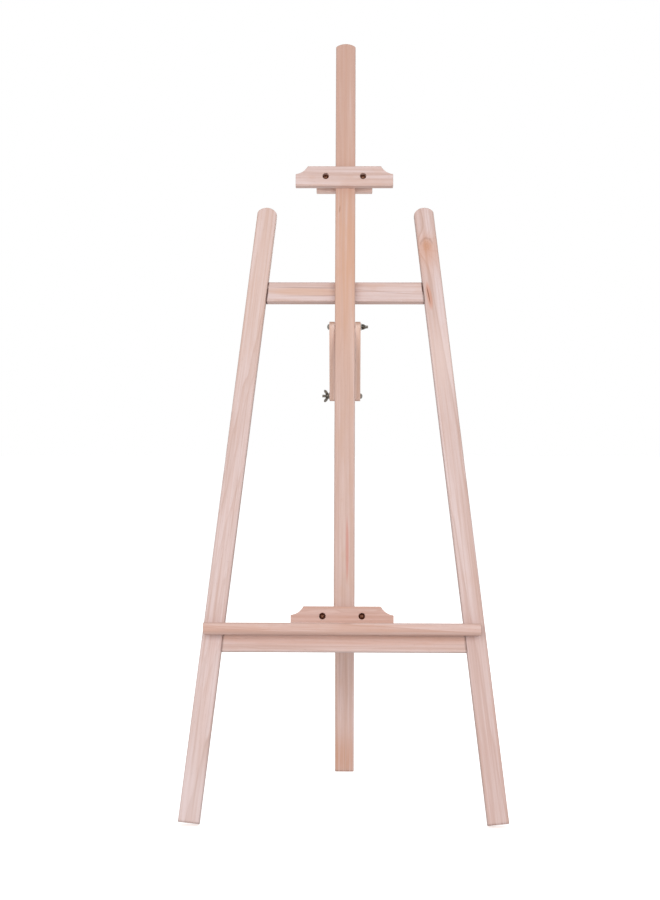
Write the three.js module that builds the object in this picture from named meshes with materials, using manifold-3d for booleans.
// A pine artist's easel with two splayed front legs, a central mast and a folding rear leg.
//
// Two crossbars join the front legs. The mast passes in front of the upper crossbar and behind
// the lower one. A coved top holder and a tray with a long ledge are clamped round the mast by
// bolts and wing nuts, so both slide along it. Two wooden cheeks hang from a bolt through the
// mast and carry the rear leg on a second bolt; the rear leg's top end leans on the mast.
//
// The part stands on the floor, +Z up, with its front towards -Y and its right side on +X.
// Its origin is the middle of its footprint on the floor.

import * as THREE from "three";
import { mergeVertices } from "three/addons/utils/BufferGeometryUtils.js";
import Module from "manifold-3d";

const wasm = await Module();
wasm.setup();

// ---------------------------------------------------------------- driving dimensions (mm, degrees)

const degrees = THREE.MathUtils.degToRad;

const GAP = 0.3; // clearance between pieces that touch
const REST_GAP = 0.5; // clearance where a moving piece rests on a fixed one

// Wooden stock
const STOCK_WIDTH = 40; // crossbars
const LEG_WIDTH = 38.4; // front legs
const STOCK_THICKNESS = 20; // every long member
const MAST_WIDTH = 38.8; // mast and rear leg
const EDGE_ROUND = 3; // rounding of the long edges
const MAST_DOME_RADIUS = 33; // rounded top ends
const LEG_DOME_RADIUS = 22.5;

// Front frame, which leans back as one plane
const FRAME_LEAN = degrees(13.8);
const LEG_SPLAY = degrees(6);
const LEG_LENGTH = 1188; // along the leg, from the floor line to the top of its dome
const LEG_HALF_SPREAD = 277.7; // leg centre line to the middle, at the floor line
const UPPER_CROSSBAR = 1006.5; // centre height, measured up the leaning plane
const LOWER_CROSSBAR = 329.5;

// Mast, measured along itself from the point beside the upper crossbar's lower edge
const MAST_ABOVE = 523;
const MAST_BELOW = 672;

// Top holder and tray, both clamped round the mast
const PLATE_WIDTH = 190;
const COVE_WIDTH = 23.5;
const COVE_DEPTH = 16;
const BACK_PLATE_WIDTH = 110;
const BACK_PLATE_HEIGHT = 40;
const BACK_PLATE_THICKNESS = 12;
const BACK_PLATE_CORNER = 1.5;
const PLATE_EDGE = 1; // small rounding round every plate
const COVE_BEND_X = 4; // how far the cove's curve is drawn in from its straight chord
const COVE_BEND_Z = 6;
const CLAMP_BOLT_SPACING = 72.8;

const HOLDER_POSITION = 241.8; // along the mast, at the holder's bolts
const HOLDER_SHIFT = -2; // sideways, as clamped
const HOLDER_HEIGHT_ABOVE_BOLTS = 20;
const HOLDER_HEIGHT_BELOW_BOLTS = 20;
const HOLDER_THICKNESS = 15;

const TRAY_POSITION = -611.2; // along the mast, at the tray's bolts
const TRAY_SHIFT = -3.5;
const TRAY_HEIGHT_ABOVE_BOLTS = 18;
const TRAY_HEIGHT_BELOW_BOLTS = 24.5;
const TRAY_THICKNESS = 21;

const LEDGE_LENGTH = 505;
const LEDGE_DEPTH = 40;
const LEDGE_HEIGHT = 21;
const LEDGE_TOP_BELOW_BOLTS = 14;
const LEDGE_TOP_ROUND = 4; // front upper edge
const LEDGE_BOTTOM_ROUND = 10; // front lower edge
const LEDGE_BACK_CHAMFER = 1;
const LEDGE_SCREW_SPACING = 70;
const LEDGE_SCREW_LENGTH = 40;

// Fixings of the crossbars: each end has a screw above its centre line and a dowel below it
const FIXING_OFFSET = 9;
const CROSSBAR_SCREW_LENGTH = 70;
const MAST_SCREW_LENGTH = 33;
const MAST_SCREW_SPACING = 18;

// Link cheeks and rear leg
const UPPER_PIVOT = -54.4; // along the mast
const LINK_LENGTH = 143.2; // pivot to pivot
const LINK_ANGLE = degrees(33); // from the mast, swung back
const CHEEK_WIDTH = 20;
const CHEEK_THICKNESS = 10.5;
const REAR_LEG_ANGLE = degrees(21.4); // from the mast

// Hardware
const BOLT_RADIUS = 3;
const BOLT_HEAD_RADIUS = 5.6;
const BOLT_HEAD_HEIGHT = 4;
const BOLT_TIP = 0.6; // chamfer at the end of the thread
const CLAMP_COUNTERBORE = 7;
const NUT_HEIGHT = 6;
const NUT_RADIUS = 5.6;
const NUT_FOOT = 1.5; // height of the straight part of the nut's hub
const NUT_TAPER = 1;
const NUT_BORE = 3.35;
const WING_REACH = 12.5;
const WING_RISE = 9.5;
const WING_THICKNESS = 2.4;
const HOLDER_WING_TURNS = [degrees(12), degrees(-20)]; // left and right, as tightened
const TRAY_WING_TURNS = [degrees(-15), degrees(25)];
const UPPER_PIVOT_WING_TURN = degrees(82);
const LOWER_PIVOT_WING_TURN = degrees(35);
const WASHER_RADIUS = 7;
const WASHER_THICKNESS = 1.3;
const BOLT_END = 6.5; // thread left standing out of a nut
const SCREW_RADIUS = 1.9;
const SCREW_HEAD_RADIUS = 3.6;
const SCREW_HEAD_HEIGHT = 2.6;
const DOWEL_RADIUS = 4;
const DOWEL_LENGTH = 34;

// Facets, and how far a cutting shape runs past what it cuts
const ROUND_SIDES = 20;
const SCREW_SIDES = 12;
const EDGE_SEGMENTS = 3;
const DOME_SEGMENTS = 10;
const CURVE_SEGMENTS = 6;
const OVERCUT = 1;

// ------------------------------------------------------------------------------------- finishes

const PINE_PALE = { color: 0xdec3bd, roughness: 0.62, metalness: 0 };
const PINE_WARM = { color: 0xd6b2a3, roughness: 0.62, metalness: 0 };
const PINE_PLATE = { color: 0xd8b7ab, roughness: 0.6, metalness: 0 };
const DOWEL_WOOD = { color: 0xcfa982, roughness: 0.7, metalness: 0 };
const ZINC = { color: 0x9a9a98, roughness: 0.35, metalness: 1 };
const DARK_STEEL = { color: 0x3a3836, roughness: 0.45, metalness: 1 };

// ---------------------------------------------------------------------------- solids and cutting

function solidOf(geometry) {
  const bare = geometry.clone();
  bare.deleteAttribute("normal");
  bare.deleteAttribute("uv");
  const merged = mergeVertices(bare, 1e-4);
  const vertProperties = new Float32Array(merged.attributes.position.array);
  const triVerts = new Uint32Array(merged.index.array);
  return new wasm.Manifold(new wasm.Mesh({ numProp: 3, vertProperties, triVerts }));
}

function geometryOf(solid) {
  const mesh = solid.getMesh();
  const geometry = new THREE.BufferGeometry();
  geometry.setAttribute("position", new THREE.BufferAttribute(mesh.vertProperties, 3));
  geometry.setIndex(new THREE.BufferAttribute(mesh.triVerts, 1));
  return geometry;
}

function common(first, second) {
  return geometryOf(solidOf(first).intersect(solidOf(second)));
}

function joined(first, second) {
  return geometryOf(solidOf(first).add(solidOf(second)));
}

function cut(body, tool) {
  return geometryOf(solidOf(body).subtract(solidOf(tool)));
}

// Cuts the hole for a fastener, with the tool given in the fastener's own frame.
function drill(pieces, fastener, tool) {
  fastener.updateWorldMatrix(true, false);
  for (const piece of pieces) {
    piece.updateWorldMatrix(true, false);
    const toPiece = piece.matrixWorld.clone().invert().multiply(fastener.matrixWorld);
    piece.geometry = cut(piece.geometry, tool.clone().applyMatrix4(toPiece));
  }
}

// ------------------------------------------------------------------------------- shape helpers

// Outline in shape x, y becomes X, Z; the extrusion runs towards -Y.
function standUp(geometry) {
  return geometry.rotateX(Math.PI / 2);
}

// Outline in shape x, y becomes Y, Z; the extrusion runs along +X.
function layAcross(geometry) {
  const across = new THREE.Matrix4().makeBasis(
    new THREE.Vector3(0, 1, 0),
    new THREE.Vector3(0, 0, 1),
    new THREE.Vector3(1, 0, 0),
  );
  return geometry.applyMatrix4(across);
}

function extrude(shape, depth, curveSegments = EDGE_SEGMENTS) {
  return new THREE.ExtrudeGeometry(shape, { depth, curveSegments, bevelEnabled: false });
}

// An extrusion of the full outline and depth, with its edges rounded by edge.
function softExtrude(shape, depth, edge, curveSegments = CURVE_SEGMENTS) {
  const geometry = new THREE.ExtrudeGeometry(shape, {
    depth: depth - 2 * edge,
    curveSegments,
    bevelEnabled: true,
    bevelThickness: edge,
    bevelSize: edge,
    bevelOffset: -edge,
    bevelSegments: 1,
  });
  return geometry.translate(0, 0, edge);
}

function roundedRectangle(width, height, radius) {
  const x = width / 2 - radius;
  const y = height / 2 - radius;
  const shape = new THREE.Shape();
  shape.absarc(x, y, radius, 0, Math.PI / 2);
  shape.absarc(-x, y, radius, Math.PI / 2, Math.PI);
  shape.absarc(-x, -y, radius, Math.PI, 1.5 * Math.PI);
  shape.absarc(x, -y, radius, 1.5 * Math.PI, 2 * Math.PI);
  return shape;
}

// A length of stock with rounded long edges, running up Z from low to high.
function stock(width, low, high) {
  const section = roundedRectangle(width, STOCK_THICKNESS, EDGE_ROUND);
  return extrude(section, high - low).translate(0, 0, low);
}

// The same stock with its top end cut to a shallow dome.
function domedStock(width, low, high, radius) {
  const half = width / 2 + OVERCUT;
  const start = Math.acos(half / radius);
  const outline = new THREE.Shape();
  outline.moveTo(-half, low - OVERCUT);
  outline.lineTo(half, low - OVERCUT);
  outline.absarc(0, high - radius, radius, start, Math.PI - start);
  const depth = STOCK_THICKNESS + 2 * OVERCUT;
  const dome = standUp(extrude(outline, depth, DOME_SEGMENTS)).translate(0, depth / 2, 0);
  return common(stock(width, low, high), dome);
}

// A profile of [radius, height] points turned round Z; it starts and ends on the axis.
function turned(profile, sides = ROUND_SIDES) {
  const points = profile.map(([radius, height]) => new THREE.Vector2(radius, height));
  return new THREE.LatheGeometry(points, sides).rotateX(Math.PI / 2);
}

function rod(radius, low, high, sides = ROUND_SIDES) {
  const profile = [
    [0, low],
    [radius, low],
    [radius, high],
    [0, high],
  ];
  return turned(profile, sides);
}

function quarterDome(radius, height, steps = 4) {
  const points = [];
  for (let step = 0; step <= steps; step += 1) {
    const angle = (step / steps) * (Math.PI / 2);
    points.push([step === 0 ? 0 : radius * Math.sin(angle), -height * Math.cos(angle)]);
  }
  return points;
}

// ------------------------------------------------------------------------------------- hardware
// Every fastener lies on Z: its head ends at z = 0 on the -Z side, or, for a wood screw, starts there.

function boltShape(length) {
  return turned([
    ...quarterDome(BOLT_HEAD_RADIUS, BOLT_HEAD_HEIGHT),
    [BOLT_RADIUS, 0],
    [BOLT_RADIUS, length - BOLT_TIP],
    [BOLT_RADIUS - BOLT_TIP, length],
    [0, length],
  ]);
}

function boltHole(length) {
  return rod(BOLT_RADIUS + GAP, -length, 2 * length);
}

function counterbore(depth) {
  return rod(BOLT_HEAD_RADIUS + 2 * GAP, -depth - OVERCUT, -GAP);
}

function screwProfile(length, grow, proud) {
  const head = SCREW_HEAD_RADIUS + grow;
  const shank = SCREW_RADIUS + grow;
  return [
    [0, -proud],
    [head, -proud],
    [head, GAP],
    [shank, SCREW_HEAD_HEIGHT + grow],
    [shank, length - SCREW_RADIUS + grow],
    [0, length + 2 * grow],
  ];
}

function screwShape(length) {
  return turned(screwProfile(length, 0, 0), SCREW_SIDES);
}

function screwHole(length) {
  return turned(screwProfile(length, GAP, OVERCUT), SCREW_SIDES);
}

function washerShape() {
  const disc = rod(WASHER_RADIUS, 0, WASHER_THICKNESS);
  return cut(disc, rod(NUT_BORE, -OVERCUT, WASHER_THICKNESS + OVERCUT));
}

// One wing: it springs from inside the hub, sweeps out and up to a rounded tip, and comes back.
function wingOutline() {
  const root = 0.7 * NUT_RADIUS;
  const foot = 0.1 * NUT_HEIGHT;
  const shoulder = 0.9 * NUT_HEIGHT;
  const tipWidth = 0.2 * WING_REACH;
  const tipDrop = 0.27 * WING_RISE;
  const outline = new THREE.Shape();
  outline.moveTo(root, foot);
  outline.quadraticCurveTo(WING_REACH - tipWidth, 3 * foot, WING_REACH, WING_RISE - tipDrop);
  outline.quadraticCurveTo(WING_REACH, WING_RISE, WING_REACH - tipWidth, WING_RISE);
  outline.quadraticCurveTo(WING_REACH - 2 * tipWidth, WING_RISE, root, shoulder);
  outline.closePath();
  return outline;
}

function wingNutShape() {
  const hub = turned([
    [0, 0],
    [NUT_RADIUS, 0],
    [NUT_RADIUS, NUT_FOOT],
    [NUT_RADIUS - NUT_TAPER, NUT_HEIGHT],
    [0, NUT_HEIGHT],
  ]);
  const wing = standUp(extrude(wingOutline(), WING_THICKNESS)).translate(0, WING_THICKNESS / 2, 0);
  const opposite = wing.clone().rotateZ(Math.PI);
  const body = joined(joined(hub, wing), opposite);
  return cut(body, rod(NUT_BORE, -OVERCUT, NUT_HEIGHT + OVERCUT));
}

// --------------------------------------------------------------------------------- wooden shapes

function plateOutline(above, below) {
  const half = PLATE_WIDTH / 2;
  const bendX = half - COVE_WIDTH / 2 - COVE_BEND_X;
  const bendY = above - COVE_DEPTH / 2 - COVE_BEND_Z;
  const outline = new THREE.Shape();
  outline.moveTo(-half, -below);
  outline.lineTo(half, -below);
  outline.lineTo(half, above - COVE_DEPTH);
  outline.quadraticCurveTo(bendX, bendY, half - COVE_WIDTH, above);
  outline.lineTo(COVE_WIDTH - half, above);
  outline.quadraticCurveTo(-bendX, bendY, -half, above - COVE_DEPTH);
  outline.closePath();
  return outline;
}

// Front plates end GAP clear of the mast's front face.
function frontPlate(above, below, thickness) {
  const plate = standUp(softExtrude(plateOutline(above, below), thickness, PLATE_EDGE));
  return plate.translate(0, -STOCK_THICKNESS / 2 - GAP, 0);
}

function backPlate() {
  const outline = roundedRectangle(BACK_PLATE_WIDTH, BACK_PLATE_HEIGHT, BACK_PLATE_CORNER);
  const plate = standUp(softExtrude(outline, BACK_PLATE_THICKNESS, PLATE_EDGE, EDGE_SEGMENTS));
  return plate.translate(0, STOCK_THICKNESS / 2 + GAP + BACK_PLATE_THICKNESS, 0);
}

// The ledge's section: y runs from its front edge to its back, z up from its lower face.
function ledgeShape() {
  const section = new THREE.Shape();
  const back = LEDGE_DEPTH;
  section.moveTo(LEDGE_BOTTOM_ROUND, 0);
  section.lineTo(back - LEDGE_BACK_CHAMFER, 0);
  section.lineTo(back, LEDGE_BACK_CHAMFER);
  section.lineTo(back, LEDGE_HEIGHT - LEDGE_BACK_CHAMFER);
  section.lineTo(back - LEDGE_BACK_CHAMFER, LEDGE_HEIGHT);
  section.lineTo(LEDGE_TOP_ROUND, LEDGE_HEIGHT);
  section.absarc(LEDGE_TOP_ROUND, LEDGE_HEIGHT - LEDGE_TOP_ROUND, LEDGE_TOP_ROUND,
    Math.PI / 2, Math.PI);
  section.absarc(LEDGE_BOTTOM_ROUND, LEDGE_BOTTOM_ROUND, LEDGE_BOTTOM_ROUND,
    Math.PI, 1.5 * Math.PI);
  return layAcross(extrude(section, LEDGE_LENGTH, CURVE_SEGMENTS)).translate(-LEDGE_LENGTH / 2, 0, 0);
}

function cheekShape() {
  const radius = CHEEK_WIDTH / 2;
  const outline = new THREE.Shape();
  outline.absarc(0, 0, radius, 0, Math.PI);
  outline.absarc(0, -LINK_LENGTH, radius, Math.PI, 2 * Math.PI);
  const cheek = layAcross(softExtrude(outline, CHEEK_THICKNESS, PLATE_EDGE, DOME_SEGMENTS));
  return cheek.translate(-CHEEK_THICKNESS / 2, 0, 0);
}

// --------------------------------------------------------------------------------- the assembly

const easel = new THREE.Group();

function group(parent, place = {}) {
  const made = new THREE.Group();
  made.position.set(place.x ?? 0, place.y ?? 0, place.z ?? 0);
  made.rotation.set(place.turnX ?? 0, place.turnY ?? 0, place.turnZ ?? 0);
  parent.add(made);
  return made;
}

function piece(parent, name, geometry, finish, place = {}) {
  const mesh = new THREE.Mesh(geometry, new THREE.MeshStandardMaterial(finish));
  mesh.name = name;
  mesh.position.set(place.x ?? 0, place.y ?? 0, place.z ?? 0);
  mesh.rotation.set(place.turnX ?? 0, place.turnY ?? 0, place.turnZ ?? 0);
  parent.add(mesh);
  return mesh;
}

const SIDES = [
  { side: -1, word: "left" },
  { side: 1, word: "right" },
];

// ---- front frame: in its own axes x is across, y is back through the plane and z is up the plane

const frontFrame = group(easel, { turnX: -FRAME_LEAN });

// The square-cut foot stands on its inner back corner, so the cut is lifted by that much.
function footLift() {
  const corner = roundedRectangle(LEG_WIDTH, STOCK_THICKNESS, EDGE_ROUND);
  const section = corner.getPoints(EDGE_SEGMENTS);
  const acrossFall = Math.sin(LEG_SPLAY) * Math.cos(FRAME_LEAN);
  const backFall = Math.sin(FRAME_LEAN);
  const reach = Math.max(...section.map((point) => point.x * acrossFall + point.y * backFall));
  return reach / (Math.cos(LEG_SPLAY) * Math.cos(FRAME_LEAN));
}

function legInnerEdge(height) {
  const centre = LEG_HALF_SPREAD - height * Math.tan(LEG_SPLAY);
  return centre - LEG_WIDTH / 2 / Math.cos(LEG_SPLAY);
}

function crossbarShape(height) {
  const low = -STOCK_WIDTH / 2 - OVERCUT;
  const high = -low;
  const outline = new THREE.Shape();
  outline.moveTo(-legInnerEdge(height + low) + GAP, low);
  outline.lineTo(legInnerEdge(height + low) - GAP, low);
  outline.lineTo(legInnerEdge(height + high) - GAP, high);
  outline.lineTo(-legInnerEdge(height + high) + GAP, high);
  outline.closePath();
  const depth = STOCK_THICKNESS + 2 * OVERCUT;
  const ends = standUp(extrude(outline, depth)).translate(0, depth / 2, 0);
  const half = legInnerEdge(height + low);
  const bar = stock(STOCK_WIDTH, -half, half).rotateY(Math.PI / 2);
  return common(bar, ends);
}

const frontLegs = {};
const legFrames = {};
for (const { side, word } of SIDES) {
  legFrames[word] = group(frontFrame, { x: side * LEG_HALF_SPREAD, turnY: -side * LEG_SPLAY });
  const leg = domedStock(LEG_WIDTH, footLift(), LEG_LENGTH, LEG_DOME_RADIUS);
  frontLegs[word] = piece(legFrames[word], `${word}_front_leg`, leg, PINE_PALE);
}

const crossbars = {
  upper: piece(frontFrame, "upper_crossbar", crossbarShape(UPPER_CROSSBAR), PINE_WARM,
    { z: UPPER_CROSSBAR }),
  lower: piece(frontFrame, "lower_crossbar", crossbarShape(LOWER_CROSSBAR), PINE_PALE,
    { z: LOWER_CROSSBAR }),
};

// Each crossbar end is held by a screw through the leg and kept from turning by a dowel.
for (const [level, height] of [["upper", UPPER_CROSSBAR], ["lower", LOWER_CROSSBAR]]) {
  for (const { side, word } of SIDES) {
    const along = height / Math.cos(LEG_SPLAY);
    const inward = -side * Math.PI / 2;
    const screw = piece(legFrames[word], `${level}_crossbar_screw_${word}`,
      screwShape(CROSSBAR_SCREW_LENGTH), ZINC,
      { x: side * LEG_WIDTH / 2, z: along + FIXING_OFFSET, turnY: inward });
    drill([frontLegs[word], crossbars[level]], screw, screwHole(CROSSBAR_SCREW_LENGTH));
    const reach = DOWEL_LENGTH / 2;
    const dowel = piece(legFrames[word], `${level}_crossbar_dowel_${word}`,
      rod(DOWEL_RADIUS, -reach, reach, SCREW_SIDES), DOWEL_WOOD,
      { x: -side * LEG_WIDTH / 2, z: along - FIXING_OFFSET, turnY: inward });
    const socket = rod(DOWEL_RADIUS + GAP, -reach - GAP, reach + GAP, SCREW_SIDES);
    drill([frontLegs[word], crossbars[level]], dowel, socket);
  }
}

// ---- mast: in its own axes y is back through its thickness and z is up along it

const crossbarReach = STOCK_THICKNESS / 2 + GAP;
const contactSpan = UPPER_CROSSBAR - LOWER_CROSSBAR - STOCK_WIDTH;
const MAST_TILT = 2 * Math.atan((crossbarReach + STOCK_THICKNESS / 2) / contactSpan);
const mastFrame = group(frontFrame, {
  y: -crossbarReach - STOCK_THICKNESS / 2 / Math.cos(MAST_TILT),
  z: UPPER_CROSSBAR - STOCK_WIDTH / 2,
  turnX: MAST_TILT,
});
const mastStock = domedStock(MAST_WIDTH, -MAST_BELOW, MAST_ABOVE, MAST_DOME_RADIUS);
const mast = piece(mastFrame, "mast", mastStock, PINE_WARM);

// Two screws from behind hold the mast at each crossbar.
const lowerScrews = -(UPPER_CROSSBAR - LOWER_CROSSBAR - STOCK_WIDTH / 2) / Math.cos(MAST_TILT);
for (const { side, word } of SIDES) {
  const place = {
    x: side * MAST_SCREW_SPACING / 2,
    y: STOCK_THICKNESS / 2,
    turnX: Math.PI / 2,
  };
  const upper = piece(frontFrame, `upper_mast_screw_${word}`, screwShape(MAST_SCREW_LENGTH), ZINC,
    { ...place, z: UPPER_CROSSBAR });
  drill([crossbars.upper, mast], upper, screwHole(MAST_SCREW_LENGTH));
  const lower = piece(mastFrame, `lower_mast_screw_${word}`, screwShape(MAST_SCREW_LENGTH), ZINC,
    { ...place, z: lowerScrews });
  drill([mast, crossbars.lower], lower, screwHole(MAST_SCREW_LENGTH));
}

// ---- clamps: a bolt from the front, with a washer and a wing nut behind the back plate

function clampBolts(parent, owner, front, back, thickness, wingTurns) {
  const frontFace = -STOCK_THICKNESS / 2 - GAP - thickness;
  const seat = frontFace + CLAMP_COUNTERBORE;
  const backFace = STOCK_THICKNESS / 2 + GAP + BACK_PLATE_THICKNESS;
  const washerFace = backFace + GAP;
  const nutFace = washerFace + WASHER_THICKNESS + GAP;
  const length = nutFace + NUT_HEIGHT + BOLT_END - seat;
  SIDES.forEach(({ side, word }, index) => {
    const x = side * CLAMP_BOLT_SPACING / 2;
    const backwards = -Math.PI / 2;
    const bolt = piece(parent, `${owner}_bolt_${word}`, boltShape(length), ZINC,
      { x, y: seat - GAP, turnX: backwards });
    drill([front, back], bolt, boltHole(length));
    drill([front], bolt, counterbore(CLAMP_COUNTERBORE).translate(0, 0, GAP));
    piece(parent, `${owner}_washer_${word}`, washerShape(), ZINC, { x, y: washerFace, turnX: backwards });
    const nut = group(parent, { x, y: nutFace, turnX: backwards });
    piece(nut, `${owner}_wing_nut_${word}`, wingNutShape(), DARK_STEEL, { turnZ: wingTurns[index] });
  });
}

const holder = group(mastFrame, { x: HOLDER_SHIFT, z: HOLDER_POSITION });
const holderFront = piece(holder, "top_holder_front_plate",
  frontPlate(HOLDER_HEIGHT_ABOVE_BOLTS, HOLDER_HEIGHT_BELOW_BOLTS, HOLDER_THICKNESS), PINE_PLATE);
const holderBack = piece(holder, "top_holder_back_plate", backPlate(), PINE_PLATE);
clampBolts(holder, "top_holder", holderFront, holderBack, HOLDER_THICKNESS, HOLDER_WING_TURNS);

const tray = group(mastFrame, { x: TRAY_SHIFT, z: TRAY_POSITION });
const trayFront = piece(tray, "tray_front_plate",
  frontPlate(TRAY_HEIGHT_ABOVE_BOLTS, TRAY_HEIGHT_BELOW_BOLTS, TRAY_THICKNESS), PINE_PLATE);
const trayBack = piece(tray, "tray_back_plate", backPlate(), PINE_PLATE);
clampBolts(tray, "tray", trayFront, trayBack, TRAY_THICKNESS, TRAY_WING_TURNS);

const ledge = piece(tray, "tray_ledge", ledgeShape(), PINE_PLATE, {
  y: -STOCK_THICKNESS / 2 - GAP - TRAY_THICKNESS - GAP - LEDGE_DEPTH,
  z: -LEDGE_TOP_BELOW_BOLTS - LEDGE_HEIGHT,
});
const ledgeScrewHeight = -(TRAY_HEIGHT_BELOW_BOLTS + LEDGE_TOP_BELOW_BOLTS) / 2;
for (const [word, step] of [["left", -1], ["middle", 0], ["right", 1]]) {
  const screw = piece(tray, `ledge_screw_${word}`, screwShape(LEDGE_SCREW_LENGTH), ZINC, {
    x: step * LEDGE_SCREW_SPACING,
    y: -STOCK_THICKNESS / 2 - GAP,
    z: ledgeScrewHeight,
    turnX: Math.PI / 2,
  });
  drill([trayFront, ledge], screw, screwHole(LEDGE_SCREW_LENGTH));
}

// ---- link and rear leg: both pivots lie across the mast

const link = group(mastFrame, { z: UPPER_PIVOT, turnX: LINK_ANGLE });
const cheeks = {};
for (const { side, word } of SIDES) {
  const x = side * (MAST_WIDTH / 2 + GAP + CHEEK_THICKNESS / 2);
  cheeks[word] = piece(link, `${word}_link_cheek`, cheekShape(), PINE_WARM, { x });
}

// The lower pivot's frame keeps the mast's direction, so the rear leg's angle is measured from it.
const lowerPivot = group(mastFrame, {
  y: LINK_LENGTH * Math.sin(LINK_ANGLE),
  z: UPPER_PIVOT - LINK_LENGTH * Math.cos(LINK_ANGLE),
  turnX: REAR_LEG_ANGLE,
});

// The rear leg's square top leans on the mast's back face, and its foot stands on the floor.
const pivotBehindMast = LINK_LENGTH * Math.sin(LINK_ANGLE);
const halfThicknesses = STOCK_THICKNESS / 2 * (1 + Math.cos(REAR_LEG_ANGLE));
const topReach = pivotBehindMast - halfThicknesses - REST_GAP;
const REAR_LEG_ABOVE = topReach / Math.sin(REAR_LEG_ANGLE);
const rearLean = REAR_LEG_ANGLE + MAST_TILT - FRAME_LEAN;
const pivotHeight = lowerPivot.getWorldPosition(new THREE.Vector3()).z;
const REAR_LEG_BELOW = pivotHeight / Math.cos(rearLean) - STOCK_THICKNESS / 2 * Math.tan(rearLean);
const rearStock = stock(MAST_WIDTH, -REAR_LEG_BELOW, REAR_LEG_ABOVE);
const rearLeg = piece(lowerPivot, "rear_leg", rearStock, PINE_PALE);

// A pivot bolt crosses both cheeks and the member between them, headSide giving the head's side.
function pivotBolt(parent, owner, place, headSide, between, wingTurn) {
  const outer = MAST_WIDTH / 2 + GAP + CHEEK_THICKNESS;
  const length = 2 * outer + 3 * GAP + WASHER_THICKNESS + NUT_HEIGHT + BOLT_END;
  const axle = group(parent, { ...place, turnY: -headSide * Math.PI / 2 });
  const bolt = piece(axle, `${owner}_pivot_bolt`, boltShape(length), ZINC, { z: -outer - GAP });
  drill([cheeks.left, cheeks.right, between], bolt, boltHole(length));
  piece(axle, `${owner}_pivot_washer`, washerShape(), ZINC, { z: outer + GAP });
  piece(axle, `${owner}_pivot_wing_nut`, wingNutShape(), DARK_STEEL,
    { z: outer + 2 * GAP + WASHER_THICKNESS, turnZ: wingTurn });
}

pivotBolt(link, "upper", {}, -1, mast, UPPER_PIVOT_WING_TURN);
pivotBolt(link, "lower", { z: -LINK_LENGTH }, 1, rearLeg, LOWER_PIVOT_WING_TURN);

// The origin moves to the middle of the footprint.
const box = new THREE.Box3().setFromObject(easel, true);
const centre = box.getCenter(new THREE.Vector3());
easel.position.set(-centre.x, -centre.y, -box.min.z);

export default easel;
